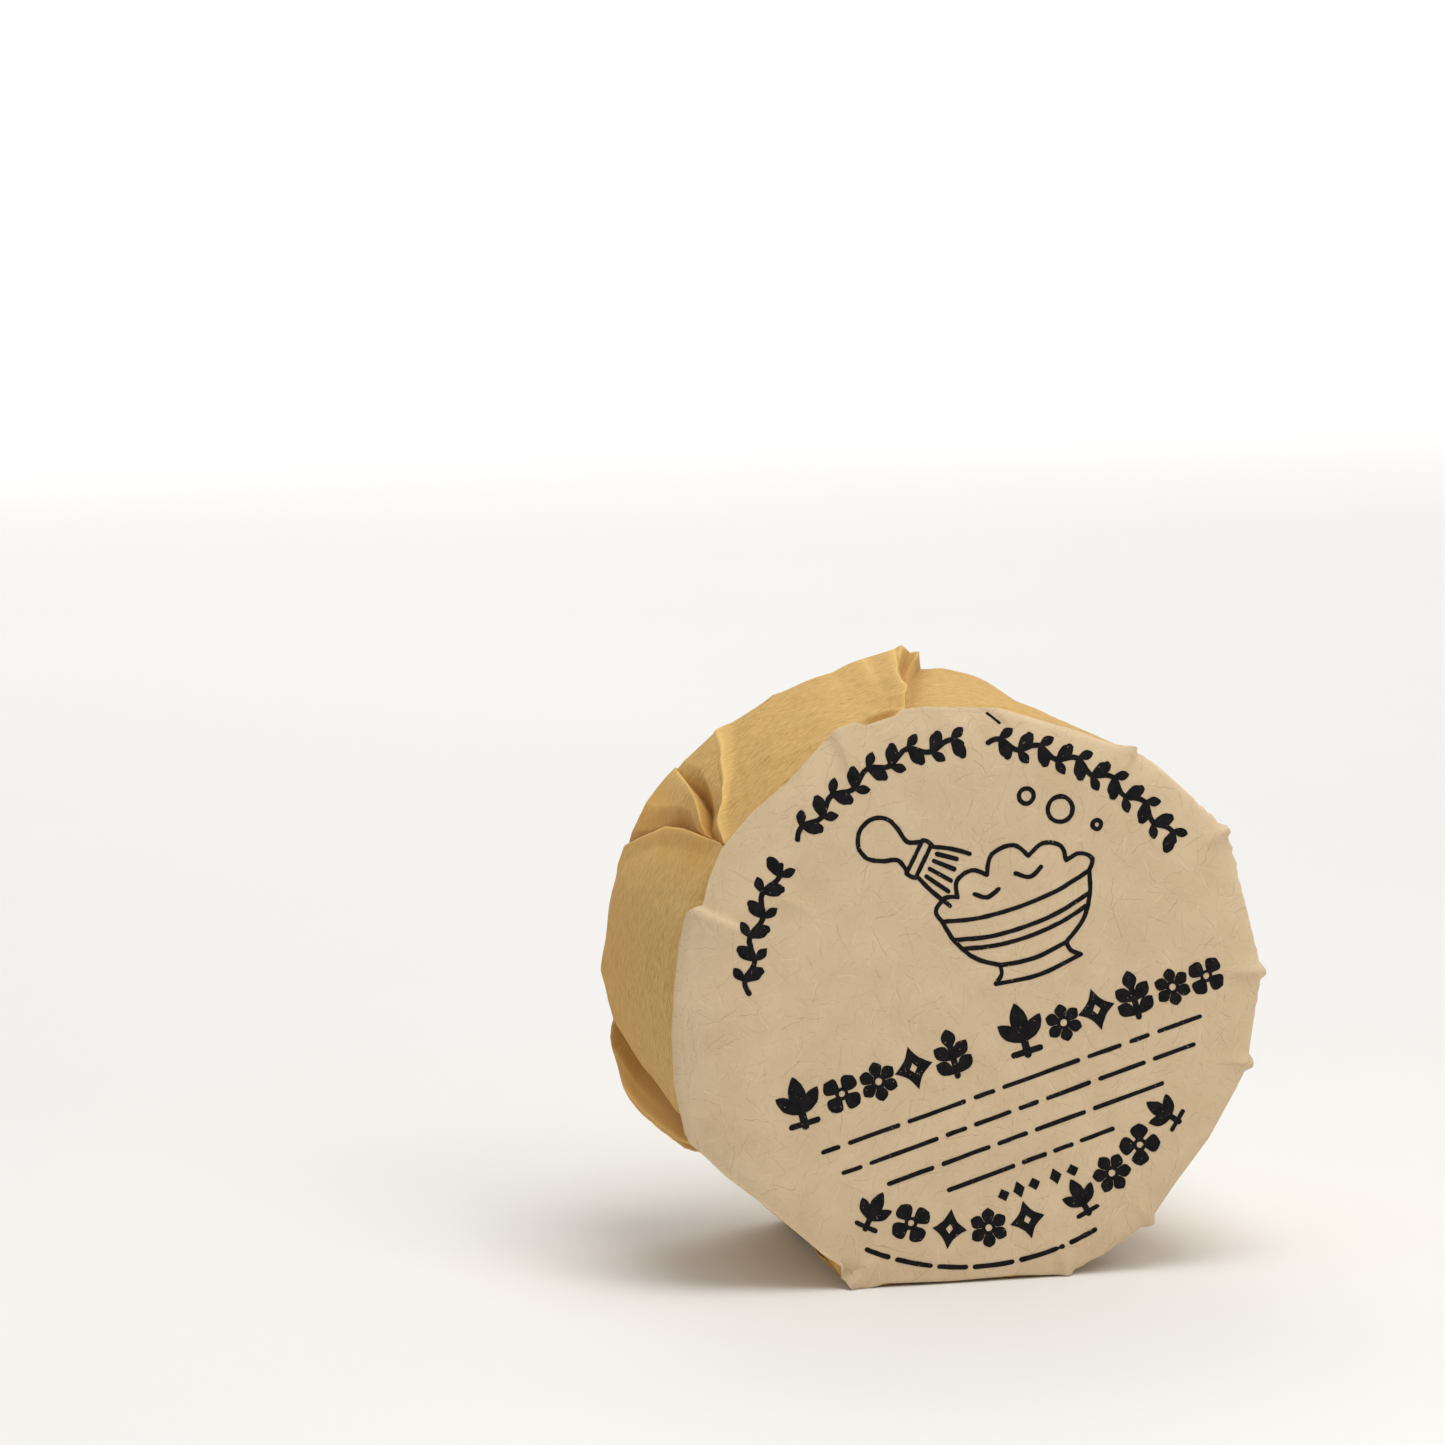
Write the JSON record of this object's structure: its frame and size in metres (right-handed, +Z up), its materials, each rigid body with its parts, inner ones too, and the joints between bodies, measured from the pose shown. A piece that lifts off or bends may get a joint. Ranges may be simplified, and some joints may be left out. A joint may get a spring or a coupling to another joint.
{
  "type": "shaving soap puck",
  "caption": "Round puck of cast shaving soap in pleated brown paper, with a round front label and a closing seal, standing on its folded rim.",
  "frame": {"origin": "under the middle of the wrapped puck, on the surface that its flat foot stands on", "axes": "+Z up; the puck's axis runs along Y, with the label facing -Y and the gathered back facing +Y"},
  "size_m": [0.0597, 0.0364, 0.059],
  "materials": {
    "soap": "waxy, slightly translucent",
    "wrapping_paper": "matte crepe",
    "label_paper": "matte, fibre flecked",
    "adhesive": "clear tacky film"
  },
  "bodies": {
    "root": {"soap_puck": "soap", "wrapper_sheet": "wrapping_paper", "wrapper_pleat_01": "wrapping_paper", "wrapper_pleat_02": "wrapping_paper", "wrapper_pleat_03": "wrapping_paper", "wrapper_pleat_04": "wrapping_paper", "wrapper_pleat_05": "wrapping_paper", "wrapper_pleat_06": "wrapping_paper", "wrapper_pleat_07": "wrapping_paper", "wrapper_pleat_08": "wrapping_paper", "label": "label_paper", "label_adhesive": "adhesive", "back_seal": "label_paper", "seal_adhesive": "adhesive"}
  },
  "joints": []
}
